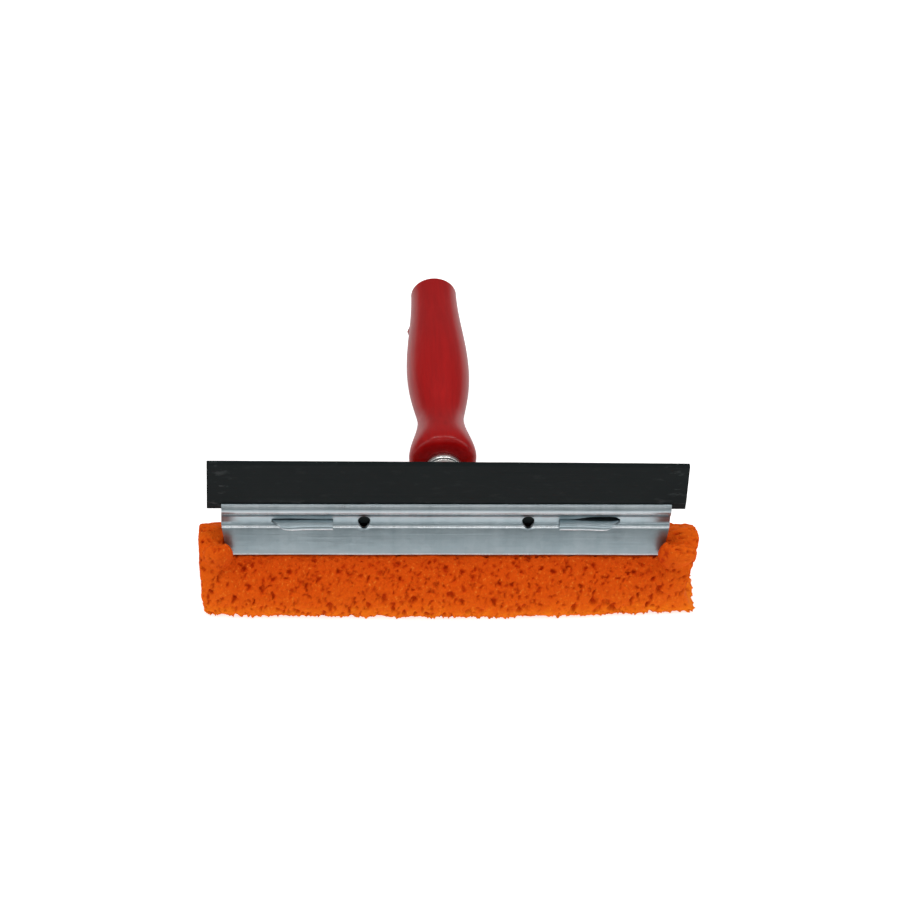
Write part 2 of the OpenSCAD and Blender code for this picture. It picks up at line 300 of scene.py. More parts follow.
def red_lacquer():
    """Red gloss lacquer on turned wood: grain shows faintly through, the coat is slightly wavy."""
    material, tree = new_material("red_lacquer")
    wood = grain(tree, 9.0, 4.0, 0.6, (60.0, 2.2, 60.0))
    cloud = grain(tree, 28.0, 3.0)
    wave = grain(tree, 160.0, 2.0, stretch=(1.0, 0.6, 1.0))
    colour = tinted(tree, LACQUER_RED, (ramp(tree, wood, 0.35, 0.70), LACQUER_BRIGHT),
                    (ramp(tree, cloud, 0.45, 0.8, 0.0, 0.35), LACQUER_DEEP))
    surface(tree, {"Coat Weight": 0.44, "Coat Roughness": 0.15, "Coat IOR": 1.33,
                   "Specular IOR Level": 0.15},
            Base_Color=colour, Roughness=ramp(tree, cloud, 0.3, 0.7, 0.30, 0.42),
            Normal=bump(tree, blend(tree, (wood, 0.35), (wave, 0.65)), 0.00010))
    return material


FIBRE_DEEP, FIBRE_BRIGHT = (0.77, 0.088, 0.003), (0.87, 0.135, 0.006)
# Painted light at the foot, painted shade up by the jaws, painted light at the ends
FOOT_LIGHT_ORANGE, JAW_SHADE_ORANGE, END_LIGHT_ORANGE = (0.98, 0.170, 0.006), (0.60, 0.056, 0.002), (0.96, 0.165, 0.008)
# Painted light along the foot's edge, and a blotch tone
FOOT_EDGE_LIGHT, BLOTCH_RED = (1.0, 0.235, 0.008), (0.74, 0.062, 0.001)
# Painted shade in the pores, painted highlight on the crests
PORE_SHADE_RED, CREST_HIGHLIGHT = (0.46, 0.026, 0.001), (1.0, 0.33, 0.045)


def orange_sponge():
    """Cellulose sponge: deep orange, painted shade in the pores, painted highlight on the walls.

    Painted light brightens it towards the foot, along the foot's edge and at the ends, and
    painted shade darkens it up by the jaws. The pore attribute is a pore's depth and the edge
    attribute is 1 along the foot's edge.
    """
    material, tree = new_material("orange_sponge")
    pore = add(tree, "ShaderNodeAttribute", {"attribute_name": "pore"}).outputs["Fac"]
    edge = add(tree, "ShaderNodeAttribute", {"attribute_name": "edge"}).outputs["Fac"]
    flat = (1.0, 1.0, 0.62)
    small = add(tree, "ShaderNodeTexVoronoi", Vector=object_point(tree, flat), Scale=780.0)
    pit = ramp(tree, small.outputs["Distance"], 0.12, 0.46, 1.0, 0.0)
    fibre = grain(tree, 900.0, 4.0, 0.6, flat)
    cloud = grain(tree, 70.0, 3.0, stretch=flat)
    level = coordinate(tree, "Z")
    across = math_node(tree, "ABSOLUTE", coordinate(tree, "X"))
    deep = math_node(tree, "ADD", pore, product(tree, pit, 0.10), clamp=True)
    crest = math_node(tree, "SUBTRACT", ramp(tree, fibre, 0.58, 0.72), product(tree, deep, 2.0),
                      clamp=True)
    colour = tinted(tree, FIBRE_DEEP, (ramp(tree, fibre, 0.3, 0.7), FIBRE_BRIGHT),
                    # painted light towards the foot, painted shade up by the jaws, painted light at the
                    # ends and the foot's edge
                    (ramp(tree, level, 0.014, 0.0, 0.0, 0.65), FOOT_LIGHT_ORANGE),
                    (ramp(tree, level, 0.008, 0.026, 0.0, 0.75), JAW_SHADE_ORANGE),
                    (ramp(tree, across, 0.088, 0.100, 0.0, 0.5), END_LIGHT_ORANGE),
                    (product(tree, edge, 0.8), FOOT_EDGE_LIGHT),
                    (ramp(tree, cloud, 0.4, 0.75, 0.0, 0.25), BLOTCH_RED),
                    # painted shade in the pores, painted highlight on the crests
                    (product(tree, deep, 0.80), PORE_SHADE_RED),
                    (product(tree, crest, 0.45), CREST_HIGHLIGHT))
    height = math_node(tree, "SUBTRACT", product(tree, fibre, 0.5), pit)
    surface(tree, {"Specular IOR Level": 0.04}, Base_Color=colour,
            Roughness=ramp(tree, fibre, 0.3, 0.7, 0.62, 0.85), Normal=bump(tree, height, 0.0004, 0.6))
    return material


GALVANISED = galvanised_sheet()
STEEL = drawn_steel()
RUBBER = black_rubber()
LACQUER = red_lacquer()
SPONGE = orange_sponge()


# Mesh helpers


def mesh_object(name, points, faces, material=None, smooth=True):
    """An object of points (n by 3) and faces, linked into the scene."""
    mesh = bpy.data.meshes.new(name)
    mesh.from_pydata(np.asarray(points).tolist(), [], faces)
    if material is not None:
        mesh.materials.append(material)
    mesh.polygons.foreach_set("use_smooth", [smooth] * len(mesh.polygons))
    mesh.update()
    piece = bpy.data.objects.new(name, mesh)
    bpy.context.scene.collection.objects.link(piece)
    return piece


def keep_crisp(mesh, sharp=35.0):
    """Shades a mesh smooth but keeps edges sharper than an angle in degrees crisp."""
    mesh.polygons.foreach_set("use_smooth", [True] * len(mesh.polygons))
    mesh.set_sharp_from_angle(angle=math.radians(sharp))
    mesh.update()


def vectors(items, name):
    """The vector of each vertex or normal, as an array of n by 3."""
    values = np.empty(len(items) * 3)
    items.foreach_get(name, values)
    return values.reshape(-1, 3)


def grid_faces(rows, columns, wrap):
    """Quads between neighbours of a grid of rows by columns; wrap joins the last column to the first."""
    index = np.arange(rows * columns).reshape(rows, columns)
    across = np.roll(index, -1, axis=1) if wrap else index[:, 1:]
    here = index if wrap else index[:, :-1]
    return np.stack([here[:-1], across[:-1], across[1:], here[1:]], axis=-1).reshape(-1, 4)


def tube_faces(rows, around, inside_out=False):
    """The faces of a closed tube: quads between its rings of points and a flat end on each side."""
    faces = grid_faces(rows, around, True).tolist()
    faces.append(list(range(around))[::-1])
    faces.append(list(range((rows - 1) * around, rows * around)))
    return [face[::-1] for face in faces] if inside_out else faces


def turned(name, profile, material, height, around=128):
    """A closed turned piece: the profile's radius at each distance, carried round the axis.

    x = r sin t and z = height + r cos t, with y the distance; rows at radius 0 close the ends.
    """
    profile = np.asarray(profile)
    angle = np.linspace(0.0, 2 * np.pi, around, endpoint=False)
    radius, distance = profile[1:-1, :1], profile[1:-1, 1:]
    x = radius * np.sin(angle)
    y = np.broadcast_to(distance, x.shape)
    z = height + radius * np.cos(angle)
    ends = [[0.0, profile[0, 1], height], [0.0, profile[-1, 1], height]]
    points = np.concatenate([np.stack([x, y, z], axis=-1).reshape(-1, 3), ends])
    rows = len(profile) - 2
    first, last, final_row = rows * around, rows * around + 1, (rows - 1) * around
    faces = grid_faces(rows, around, True).tolist()
    pairs = [(i, (i + 1) % around) for i in range(around)]
    faces += [[first, b, a] for a, b in pairs]
    faces += [[last, final_row + a, final_row + b] for a, b in pairs]
    return mesh_object(name, points, faces, material)


def ease(t):
    """A smooth step that starts and ends level: half of one minus a cosine."""
    return (1 - np.cos(np.pi * t)) / 2


def mix(a, b, t):
    """The value a share t of the way from a to b."""
    return a + (b - a) * t


def soft_step(value, low, high):
    """0 below low, 1 above high, and smooth between."""
    t = np.clip((value - low) / (high - low), 0, 1)
    return t * t * (3 - 2 * t)


# Swept pieces


def join(shells):
    """Puts several shells of points and faces into one list of each."""
    points, faces, start = [], [], 0
    for shell_points, shell_faces in shells:
        points.append(np.asarray(shell_points))
        faces += [[int(i) + start for i in face] for face in shell_faces]
        start += len(shell_points)
    return np.concatenate(points), faces


def sweep(section, stations, place=None):
    """A closed section of y and z carried along x, closed by flat ends.

    The section runs anticlockwise seen from +x. place moves the grid of points, of shape
    stations by section by 3, where a piece waves or its ends slant.
    """
    section = np.asarray(section, dtype=float)
    grid = np.empty((len(stations), len(section), 3))
    grid[:, :, 0] = np.asarray(stations, dtype=float)[:, None]
    grid[:, :, 1:] = section
    if place is not None:
        grid = place(grid)
    return grid.reshape(-1, 3), tube_faces(len(stations), len(section))


def signed_area(section):
    """The area a closed section goes round, positive when it runs anticlockwise."""
    y, z = np.asarray(section, dtype=float).T
    return 0.5 * np.sum(y * np.roll(z, -1) - np.roll(y, -1) * z)


def strip_section(path, thickness):
    """A strip of sheet about a bent middle line, with half-round edges at both ends."""
    path = np.asarray(path, dtype=float)
    run = np.gradient(path, axis=0)
    run /= np.linalg.norm(run, axis=1)[:, None]
    out = np.column_stack([-run[:, 1], run[:, 0]])
    half = thickness / 2
    turn = np.linspace(0, np.pi, 9)[1:-1]
    last = path[-1] + half * (np.cos(turn)[:, None] * out[-1] + np.sin(turn)[:, None] * run[-1])
    first = path[0] - half * (np.cos(turn)[:, None] * out[0] + np.sin(turn)[:, None] * run[0])
    section = np.concatenate([path + half * out, last, (path - half * out)[::-1], first])
    return section if signed_area(section) > 0 else section[::-1]


def round_polygon(corners, radius, steps=5):
    """A closed polygon with every corner rounded by a quadratic curve of a given reach."""
    corners = np.asarray(corners, dtype=float)
    out = []
    for i, corner in enumerate(corners):
        before = corners[i - 1] - corner
        after = corners[(i + 1) % len(corners)] - corner
        a = corner + before / np.linalg.norm(before) * min(radius, np.linalg.norm(before) * 0.45)
        b = corner + after / np.linalg.norm(after) * min(radius, np.linalg.norm(after) * 0.45)
        for t in np.linspace(0, 1, steps):
            out.append((1 - t) ** 2 * a + 2 * t * (1 - t) * corner + t ** 2 * b)
    out = np.array(out)
    return out if signed_area(out) > 0 else out[::-1]


def resample(path, spacing=None, count=None):
    """The same path with its points evenly spaced, by their spacing or their number."""
    path = np.asarray(path, dtype=float)
    steps = np.concatenate([[0], np.cumsum(np.linalg.norm(np.diff(path, axis=0), axis=1))])
    at = np.linspace(0, steps[-1], count or max(int(steps[-1] / spacing), 2))
    return np.column_stack([np.interp(at, steps, path[:, i]) for i in range(2)])


def soften(path, rounds, pull=0.5):
    """Rounds a path's bends by moving each point towards its neighbours' middle."""
    path = path.copy()
    for _ in range(rounds):
        path[1:-1] += pull * ((path[:-2] + path[2:]) / 2 - path[1:-1])
    return path


def finish_piece(name, points, faces, material, node, sharp=35.0):
    """Makes the object, keeps its sharp edges crisp, and hangs it on the body."""
    piece = mesh_object(name, points, faces, material)
    keep_crisp(piece.data, sharp)
    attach(piece, "root")
    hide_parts(node)
    return piece


def cut(piece, cutters):
    """Cuts closed shells out of a piece and keeps the new rims crisp."""
    points, faces = join(cutters)
    tool = mesh_object("cutters", points, faces, smooth=False)
    boolean = piece.modifiers.new("cut", "BOOLEAN")
    boolean.operation = "DIFFERENCE"
    boolean.solver = "EXACT"
    boolean.object = tool
    depsgraph = bpy.context.evaluated_depsgraph_get()
    result = bpy.data.meshes.new_from_object(piece.evaluated_get(depsgraph))
    piece.modifiers.clear()
    piece.data = result
    keep_crisp(result)
    bpy.data.objects.remove(tool)


def box(low, high):
    """A closed box between two corners."""
    x0, y0, z0 = low
    x1, y1, z1 = high
    points = [(x, y, z) for x in (x0, x1) for y in (y0, y1) for z in (z0, z1)]
    faces = [[0, 1, 3, 2], [4, 6, 7, 5], [0, 4, 5, 1], [2, 3, 7, 6], [0, 2, 6, 4], [1, 5, 7, 3]]
    return np.array(points), faces


def waves(points, size, seed, count=7):
    """Smooth noise between about -1 and 1: a sum of plane waves of random direction and phase."""
    rng = np.random.default_rng(seed)
    total = np.zeros(points.shape[:-1])
    for _ in range(count):
        direction = rng.normal(size=3)
        direction *= 2 * np.pi / (np.linalg.norm(direction) * size * rng.uniform(0.7, 1.5))
        total += np.sin(points @ direction + rng.uniform(0, 2 * np.pi))
    return total / math.sqrt(count)


def prism(outline, reach):
    """A closed outline of x and z, anticlockwise, carried along y both ways, for cutting a hole."""
    n = len(outline)
    rows = [np.column_stack([outline[:, 0], np.full(n, y), outline[:, 1]]) for y in (-reach, reach)]
    return np.concatenate(rows), tube_faces(2, n, True)


def cylinder_shell(x, z, radius, reach, around=64):
    """A closed cylinder along y, for cutting a round hole."""
    turn = np.linspace(0, 2 * np.pi, around, endpoint=False)
    return prism(np.column_stack([x + radius * np.cos(turn), z + radius * np.sin(turn)]), reach)


# Handle

AXIS_Z = 0.0414
HANDLE_START = 0.0322
HANDLE_LENGTH = 0.1116
COLLAR_AT, NECK_AT, BELLY_AT = 0.0038, 0.0283, 0.0591
SHOULDER_R, COLLAR_R, NECK_R, BELLY_R, END_R = 0.0084, 0.0146, 0.0099, 0.0136, 0.0101
END_ROUND = 0.0012
SPIGOT_R, SPIGOT_FRONT = 0.0062, -0.0115
RUN_AT, RUN_LENGTH, RUN_WIDTH, RUN_RISE = 0.1192, 0.0015, 0.11, 0.0008
TANG_SLOT_HALF, TANG_SLOT_T, TANG_SLOT_FRONT, TANG_SLOT_END = 0.0049, 0.0015, 0.0190, 0.0670
PIN_Y, PIN_HOLE_R = 0.02505, 0.00125


def wood_radius(at):
    """The turned outline: it eases from collar to neck, to belly, to the free end.

    A power below 1 brings the middle of a stretch nearer to its start.
    """
    def eased(start, end, start_r, end_r, power=1.0):
        return mix(start_r, end_r, ease(np.clip((at - start) / (end - start), 0, 1) ** power))
    first = eased(COLLAR_AT, NECK_AT, COLLAR_R, NECK_R, 0.88)
    second = eased(NECK_AT, BELLY_AT, NECK_R, BELLY_R, 0.66)
    third = eased(BELLY_AT, HANDLE_LENGTH, BELLY_R, END_R)
    return np.where(at < NECK_AT, first, np.where(at < BELLY_AT, second, third))


def lacquer_run(piece):
    """A small run of lacquer on the belly's left: a low drop, a bell curve along and round it."""
    points = vectors(piece.data.vertices, "co")
    level = points[:, 2] - AXIS_Z
    turn = np.arctan2(level, -points[:, 0])
    away = np.hypot((points[:, 1] - RUN_AT) / RUN_LENGTH, (turn + 0.05) / RUN_WIDTH)
    rise = RUN_RISE * np.exp(-away ** 2)
    reach = np.hypot(points[:, 0], level) + 1e-9
    points[:, 0] += points[:, 0] / reach * rise
    points[:, 2] += level / reach * rise
    piece.data.vertices.foreach_set("co", points.reshape(-1))
    piece.data.update()


def tang_cutters():
    """The slot that the tang sits in and the upright hole for its pin."""
    low = (-TANG_SLOT_HALF, TANG_SLOT_FRONT, AXIS_Z - TANG_SLOT_T / 2)
    high = (TANG_SLOT_HALF, TANG_SLOT_END, AXIS_Z + TANG_SLOT_T / 2)
    points, faces = cylinder_shell(0.0, PIN_Y, PIN_HOLE_R, 0.012)
    upright = points[:, [0, 2, 1]] + np.array([0.0, 0.0, AXIS_Z])
    return [box(low, high), (upright, [face[::-1] for face in faces])]


def make_handle():
    """The turned handle: a quarter-ellipse shoulder, the eased body and a rounded free end.

    The outline is sanded smooth, so that no edge shows where the shoulder meets the body.
    """
    turn = np.linspace(0.0, np.pi / 2, 24, endpoint=False)
    shoulder = np.column_stack([mix(SHOULDER_R, COLLAR_R, np.sin(turn)),
                                COLLAR_AT * (1 - np.cos(turn))])
    at = np.linspace(COLLAR_AT, HANDLE_LENGTH - END_ROUND, 190)
    body = np.column_stack([wood_radius(at), at])
    rim_turn = np.linspace(0.1, np.pi / 2, 10)
    rim = np.column_stack([END_R - END_ROUND * (1 - np.cos(rim_turn)),
                           HANDLE_LENGTH - END_ROUND + END_ROUND * np.sin(rim_turn)])
    spigot = np.array([[0.0, SPIGOT_FRONT], [SPIGOT_R - 0.0003, SPIGOT_FRONT],
                       [SPIGOT_R, SPIGOT_FRONT + 0.0003],
                       [SPIGOT_R, -0.0001], [SPIGOT_R, 0.0], [SHOULDER_R - 0.0001, 0.0]])
    end = np.array([[END_R * 0.6, HANDLE_LENGTH], [END_R * 0.2, HANDLE_LENGTH],
                    [0.0, HANDLE_LENGTH]])
    outside = soften(resample(np.concatenate([shoulder, body]), 0.0003), 70)
    profile = np.concatenate([spigot, outside, rim, end])
    profile[:, 1] += HANDLE_START
    piece = turned("handle_wood", profile, LACQUER, AXIS_Z, 160)
    lacquer_run(piece)
    cut(piece, tang_cutters())
    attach(piece, "root")
    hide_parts("handle")


make_handle()


# Ferrule

FERRULE_GAP, BAND_LENGTH, CUP_LENGTH = 0.00005, 0.0033, 0.009
NOSE_R, BAND_R, BORE_R = 0.00695, 0.008, 0.00625
NOSE_ROUND, ROOT_ROUND, FERRULE_SHEET = 0.0008, 0.0004, 0.0007


def make_ferrule():
    """The drawn cup: a rounded nose, then a raised band with rounded edges against the wood."""
    back = HANDLE_START - FERRULE_GAP
    band = back - BAND_LENGTH
    front = band - CUP_LENGTH
    root_r = NOSE_R + ROOT_ROUND
    turn = np.linspace(0, np.pi / 2, 8)
    nose = np.column_stack([NOSE_R - NOSE_ROUND * (1 - np.sin(turn)),
                            front + NOSE_ROUND * (1 - np.cos(turn))])
    root = np.column_stack([NOSE_R + ROOT_ROUND * (1 - np.cos(turn)),
                            band - ROOT_ROUND + ROOT_ROUND * np.sin(turn)])
    swell = np.linspace(0, np.pi, 24)
    bead = np.column_stack([root_r + (BAND_R - root_r) * np.sin(swell) ** 0.5,
                            mix(band, back, (1 - np.cos(swell)) / 2)])
    floor_at = front + FERRULE_SHEET
    inside = np.array([[BORE_R, back], [BORE_R, floor_at], [0.0, floor_at]])
    profile = np.concatenate([[[0.0, front], [NOSE_R * 0.4, front]], nose, root, bead[1:-1], inside])
    piece = turned("ferrule_cup", profile, STEEL, AXIS_Z, 128)
    cut(piece, tang_cutters())
    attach(piece, "root")
    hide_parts("ferrule")


make_ferrule()


# Plates

PLATE_HALF = 0.094
PLATE_SLANT = 0.0025
SHEET = 0.0009
BULB_Z = 0.048
LIP_TOP = 0.0514
SEAM_TOP = 0.044
SEAM_FOOT = 0.0401
JAW_FOOT = 0.0272
JAW_OUT = 0.0066
LIP_Y = 0.00185
BULGE_R = 0.00285
SEAM_Y = 0.0009
SEAM_FACE = 0.00135
LEDGE_Y = 0.0027
LEDGE_Z = 0.0390
HEM_R = 0.0005
HEM_H = 0.0019
HOLE_SPAN, HOLE_R, HOLE_Z = 0.0688, 0.0026, 0.0412
TONGUE_SPAN, TONGUE_W = 0.1204, 0.0254
YOKE_Z, YOKE_T = 0.0414, 0.0012
SLOT_CLEAR = 0.00015
SLOT_GAPE_LEFT, SLOT_GAPE_RIGHT = 0.0004, 0.0018
CUT_REACH = 0.006
JAW_SAG = 0.00018
LIP_WAVE, JAW_WAVE, FINE_WAVE = 0.034, 0.045, 0.010
DISH, DISH_WIDTH = 0.00015, 0.0008


def plate_section():
    """The front plate's section: lip, bulge round the bulb, flat, ledge, jaw and folded hem.

    The bends are eased, and the jaw sags outwards by a parabola between ledge and foot.
    """
    arc = np.radians(np.linspace(180 - math.degrees(math.acos(LIP_Y / BULGE_R)), 218, 22))
    bulge = np.column_stack([BULGE_R * np.cos(arc), BULB_Z + BULGE_R * np.sin(arc)])
    down = np.array([[-SEAM_Y - 0.0002, SEAM_TOP + 0.0004], [-SEAM_Y, SEAM_TOP], [-SEAM_Y, SEAM_FOOT],
                     [-SEAM_Y - 0.0004, SEAM_FOOT - 0.0006], [-LEDGE_Y + 0.0003, LEDGE_Z + 0.0005],
                     [-LEDGE_Y, LEDGE_Z]])
    jaw = np.array([LEDGE_Y - JAW_OUT, JAW_FOOT - LEDGE_Z])
    jaw /= np.linalg.norm(jaw)
    beside = np.array([jaw[1], -jaw[0]])
    centre = np.array([-JAW_OUT, JAW_FOOT]) - beside * HEM_R
    turn = np.linspace(0, np.pi, 13)
    hem = centre + HEM_R * (np.outer(np.sin(turn), jaw) + np.outer(np.cos(turn), beside))
    upper = resample(np.concatenate([[[-LIP_Y, LIP_TOP - SHEET / 2]], bulge, down, hem[:1]]), 0.00028)
    upper = soften(upper, 14)
    drop = np.clip((LEDGE_Z - upper[:, 1]) / (LEDGE_Z - JAW_FOOT), 0, 1)
    upper[:, 0] -= JAW_SAG * 4 * drop * (1 - drop)
    folded = resample([hem[-1], centre - beside * HEM_R - jaw * HEM_H], 0.0003)
    return strip_section(np.concatenate([upper[:-1], hem, folded[1:]]), SHEET)


def plate_stations():
    """Places along the plate, closer together round the holes and slots."""
    base = np.linspace(-1, 1, 190) * PLATE_HALF
    fine = [np.linspace(-1, 1, 30) * 0.004 + side * HOLE_SPAN / 2 for side in (-1, 1)]
    return np.unique(np.round(np.concatenate([base] + fine), 6))


def plate_place(seed):
    """Slants the plate's ends in below the flat, and lets the lip and jaw wave very slightly.

    The sheet is dished a little round each hole, as a punch leaves it.
    """
    def place(grid):
        x, y, z = grid[..., 0], grid[..., 1], grid[..., 2]
        below = np.clip((SEAM_FOOT - z) / (SEAM_FOOT - JAW_FOOT), 0, 1.1)
        grid[..., 0] = x * (1 - PLATE_SLANT / PLATE_HALF * below)
        lip = np.exp(-((z - 0.0495) / 0.0022) ** 2)
        jaw = np.clip((SEAM_FOOT - z) / 0.006, 0, 1)
        ripple = waves(np.stack([x, x * 0 + seed, x * 0], axis=-1), 0.021, seed)
        slow = waves(np.stack([x, z, x * 0], axis=-1), 0.050, seed + 1)
        fine = waves(np.stack([x, z, x * 0], axis=-1), 0.008, seed + 2)
        wave = LIP_WAVE * lip * ripple + JAW_WAVE * jaw * slow + FINE_WAVE * lip * fine
        grid[..., 1] = y + MM * wave
        for side in (-1, 1):
            gap = np.hypot(x - side * HOLE_SPAN / 2, z - HOLE_Z)
            dish = np.exp(-((gap - HOLE_R) / DISH_WIDTH) ** 2) * (gap > HOLE_R * 0.6)
            grid[..., 1] += DISH * dish
        return grid
    return place


def slot_shell(side):
    """A closed prism for cutting a slot; it gapes towards its outer end, the right one far more."""
    half = TONGUE_W / 2 + SLOT_CLEAR
    low, top = YOKE_Z - YOKE_T / 2 - SLOT_CLEAR, YOKE_Z + YOKE_T / 2 + SLOT_CLEAR
    gape = SLOT_GAPE_RIGHT if side > 0 else SLOT_GAPE_LEFT
    share = np.linspace(0, 1, 16)
    rise = gape * soft_step(share, 0.15, 0.62) * np.sqrt(1 - np.clip((share - 0.8) / 0.2, 0, 1) ** 2)
    edge = np.column_stack([mix(-half, half, share), top + rise])
    outline = np.concatenate([[[-half, low], [half, low]], edge[::-1]])
    outline[:, 0] *= side
    outline[:, 0] += side * TONGUE_SPAN / 2
    return prism(outline if side > 0 else outline[::-1], CUT_REACH)


def make_plates():
    """Both pressed plates; the back one is the front one's mirror image."""
    section = plate_section()
    cutters = []
    for side in (-1, 1):
        cutters.append(cylinder_shell(side * HOLE_SPAN / 2, HOLE_Z, HOLE_R, CUT_REACH))
        cutters.append(slot_shell(side))
    for name, seed, mirror in (("front_sheet", 3, 1), ("back_sheet", 8, -1)):
        points, faces = sweep(section, plate_stations(), plate_place(seed))
        if mirror < 0:
            points[:, 1] *= -1
            faces = [face[::-1] for face in faces]
        node = "front_plate" if mirror > 0 else "back_plate"
        piece = finish_piece(name, points, faces, GALVANISED, node)
        cut(piece, cutters)


make_plates()


# Yoke

BAR_FRONT, BAR_DEPTH, BAR_HALF = 0.0014, 0.0065, 0.0754
TANG_HALF, TANG_END = 0.00475, 0.06685
FERRULE_FRONT = 0.01985
EDGE_EASE = 0.00015
TONGUE_OUT, TONGUE_DROP = 0.0026, 0.0023
TONGUE_BULGE, TONGUE_SHEAR = 0.18, 0.13
CORNER_FROM, CORNER_UP, CORNER_IN = 0.64, 0.92, 0.35


def flat_bar():
    """The yoke's flat part: cross bar, gusset that narrows with t to the fourth, then the tang."""
    t = np.linspace(0, 1, 40)
    curve = np.column_stack([mix(BAR_HALF, TANG_HALF, t),
                             mix(BAR_FRONT + BAR_DEPTH, FERRULE_FRONT - MM, t ** 4)])
    edge = np.concatenate([[[BAR_HALF, BAR_FRONT]], curve,
                           [[TANG_HALF, TANG_END - MM], [TANG_HALF - MM, TANG_END]]])
    outline = np.concatenate([edge, edge[::-1] * [-1, 1]])
    inward = outline.mean(axis=0) - outline
    inward /= np.linalg.norm(inward, axis=1)[:, None]
    n = len(outline)
    rows = [np.column_stack([outline + inward * inset, np.full(n, YOKE_Z + level * YOKE_T)])
            for level, inset in ((-0.5, EDGE_EASE), (-0.42, 0.0), (0.42, 0.0), (0.5, EDGE_EASE))]
    return np.concatenate(rows), tube_faces(4, n)


def curled_tongue(side):
    """A tongue curled over the front plate: a quarter ellipse carried along x by t from 0 to 1.

    It stands out more by sin to the eighth towards its outer end. Past the corner's start it
    rises by a quarter circle and draws back a third as fast, and its lower edge is sheared
    inwards by t to the sixth, so that the end is round.
    """
    turn = np.linspace(0, np.pi / 2, 22)
    curl = np.column_stack([-SEAM_FACE - TONGUE_OUT * np.sin(turn),
                            YOKE_Z - TONGUE_DROP * (1 - np.cos(turn))])
    path = np.concatenate([resample([[BAR_FRONT + 0.0002, YOKE_Z], curl[0]], 0.0004)[:-1], curl])
    section = strip_section(path, YOKE_T - 0.00002)
    reach = np.clip((-section[:, 0] - SEAM_FACE) / TONGUE_OUT, 0, None)
    share = np.clip(reach, 0, 1)
    low = YOKE_Z - section[:, 1]
    inner = side * (TONGUE_SPAN / 2 - TONGUE_W / 2)
    along = np.concatenate([np.linspace(0, 0.88, 34), np.linspace(0.885, 1.0, 26)])
    grid = np.empty((len(along), len(section), 3))
    for row, t in enumerate(along):
        corner = np.clip((t - CORNER_FROM) / (1 - CORNER_FROM), 0, 1)
        rise = (1 - math.sqrt(max(1 - corner ** 2, 0))) * CORNER_UP
        bulge = 1 + TONGUE_BULGE * math.sin(min(t / 0.85, 1) * math.pi / 2) ** 8
        out = -SEAM_FACE + (section[:, 0] + SEAM_FACE) * bulge * (1 - CORNER_IN * rise)
        grid[row, :, 0] = inner + side * TONGUE_W * (t - TONGUE_SHEAR * t ** 6 * share ** 2)
        grid[row, :, 1] = np.where(reach > 0, out, section[:, 0])
        grid[row, :, 2] = np.where(low > 0, YOKE_Z - low * (1 - rise * share), section[:, 1])
    return grid.reshape(-1, 3), tube_faces(len(along), len(section), side < 0)


def make_yoke():
    """The flat stamped yoke with its tang and its two curled tongues."""
    points, faces = join([flat_bar(), curled_tongue(-1), curled_tongue(1)])
    finish_piece("yoke_sheet", points, faces, GALVANISED, "yoke", 40.0)


make_yoke()


# Blade

BLADE_HALF = 0.100
BLADE_TOP = 0.0735
BLADE_FOOT = 0.0516
ROOT_T, EDGE_T, WEB_T, TAIL_T = 0.0034, 0.0022, 0.0024, 0.0008
BULB_R = 0.0022
TAIL_FOOT = 0.0390
TAIL_CLEAR = 0.0002
EDGE_DIP = 1.1


def blade_place(grid):
    """The wiping edge dips towards the right and waves a little, and the flap leans very slightly."""
    x, z = grid[..., 0], grid[..., 2]
    up = np.clip((z - BLADE_FOOT) / (BLADE_TOP - BLADE_FOOT), 0, 1)
    share = (x + BLADE_HALF) / (2 * BLADE_HALF)
    slow = waves(np.stack([x, x * 0, x * 0], axis=-1), 0.11, 31)
    fine = waves(np.stack([x, z * 3, x * 0], axis=-1), 0.016, 32)
    grid[..., 2] = z - up * MM * (EDGE_DIP * share ** 1.4 + 0.06 + 0.05 * slow)
    grid[..., 1] += up * MM * (0.10 * slow + 0.02 * fine)
    return grid


